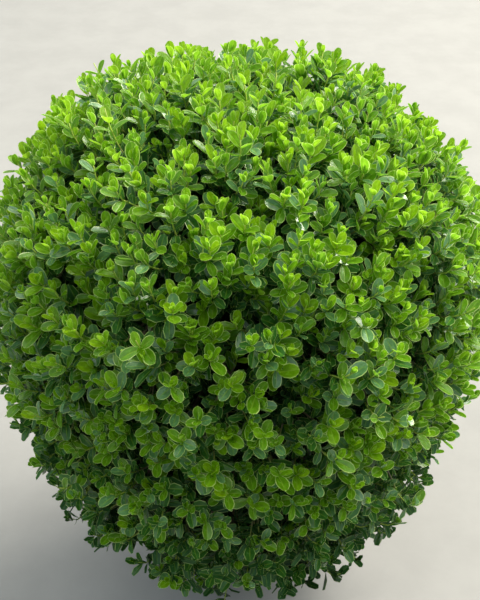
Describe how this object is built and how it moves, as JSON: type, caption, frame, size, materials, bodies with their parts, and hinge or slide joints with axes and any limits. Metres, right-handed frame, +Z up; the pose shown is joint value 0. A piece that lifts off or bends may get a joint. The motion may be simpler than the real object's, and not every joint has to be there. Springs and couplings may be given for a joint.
{
  "type": "box topiary ball",
  "caption": "Clipped evergreen box shrub: a dense egg-shaped ball of small glossy leaves on a short flared trunk that forks into side boughs.",
  "frame": {"origin": "middle of the flat cut under the trunk, at ground level", "axes": "+Z up the shrub; -Y towards the viewer's side, +X to the viewer's right"},
  "size_m": [0.5994, 0.6048, 0.7676],
  "materials": {
    "bark": "dull greyish-brown bark with shallow furrows",
    "leaf": "glossy leathery leaves: yellow-green at the tips, darker inside"
  },
  "bodies": {
    "root": {"trunk": "bark", "bough_1": "bark", "bough_2": "bark", "bough_3": "bark", "bough_4": "bark", "bough_5": "bark", "foliage_ball": "leaf"}
  },
  "joints": []
}
